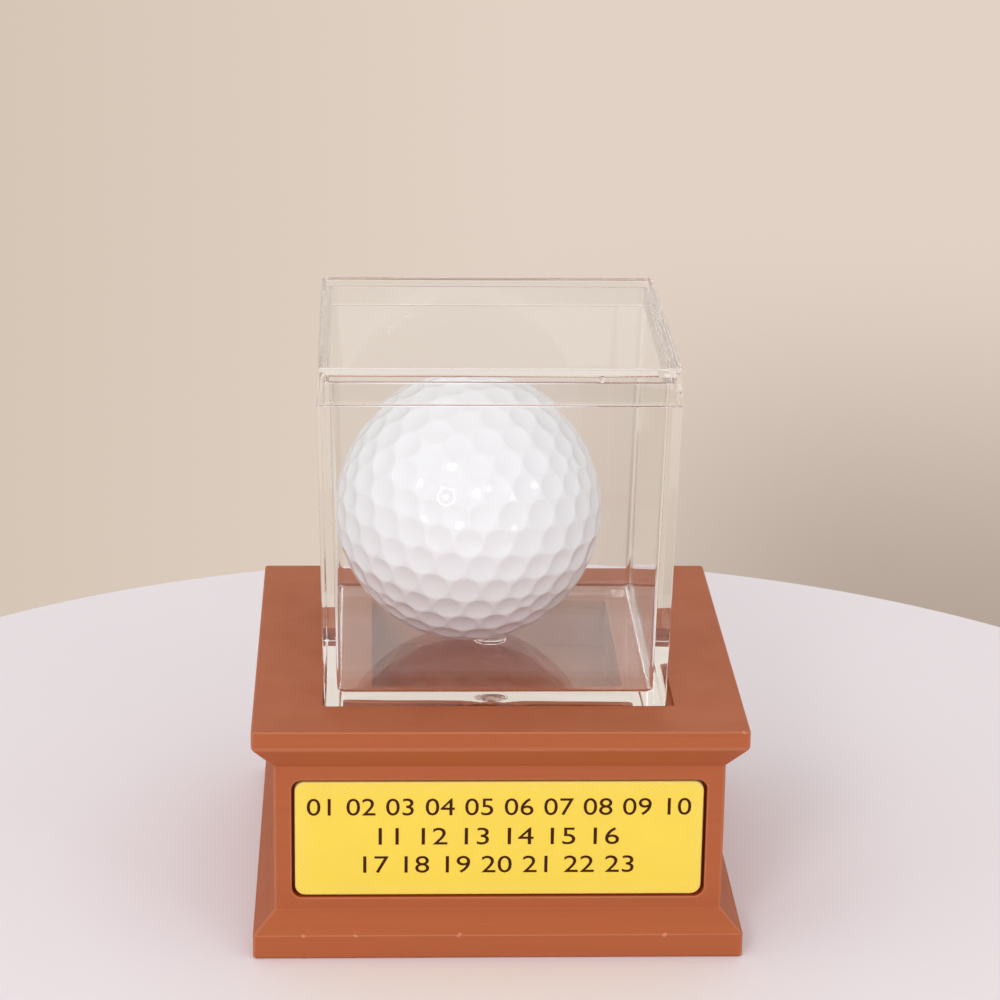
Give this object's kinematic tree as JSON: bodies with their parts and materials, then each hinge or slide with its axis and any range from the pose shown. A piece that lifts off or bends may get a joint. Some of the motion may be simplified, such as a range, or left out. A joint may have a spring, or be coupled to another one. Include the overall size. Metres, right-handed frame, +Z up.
{
  "type": "golf ball display stand",
  "caption": "Square moulded pedestal with a front name plate, carrying a clear lidded cube case that holds a golf ball.",
  "frame": {"origin": "middle of the pedestal's underside, on the surface that the stand rests on", "axes": "+Z up; the name plate faces -Y; +X is to the right seen from the front"},
  "size_m": [0.0762, 0.0762, 0.0925],
  "materials": {
    "pedestal": "3D-printed PLA, satin brown with fine level layer lines",
    "name_plate": "3D-printed PLA, satin yellow with fine slanted print lines and dark numerals",
    "clear_case": "clear injection-moulded acrylic, polished",
    "ball_core": "moulded rubber",
    "ball_cover": "glossy white ionomer with dimples"
  },
  "bodies": {
    "stand": {"pedestal": "pedestal", "name_plate": "name_plate"},
    "case": {"case_box": "clear_case"},
    "lid": {"case_lid": "clear_case"},
    "ball": {"ball_core": "ball_core", "ball_cover_upper": "ball_cover", "ball_cover_lower": "ball_cover"}
  },
  "joints": [
    {"name": "case_lift", "type": "slide", "parent": "stand", "child": "case", "axis": [0, 0, 1], "range_m": [0, 0.02]},
    {"name": "lid_lift", "type": "slide", "parent": "case", "child": "lid", "axis": [0, 0, 1], "range_m": [0, 0.045]},
    {"name": "ball_shift", "type": "slide", "parent": "case", "child": "ball", "axis": [1, 0, 0], "range_m": [0, 0.0072]}
  ]
}
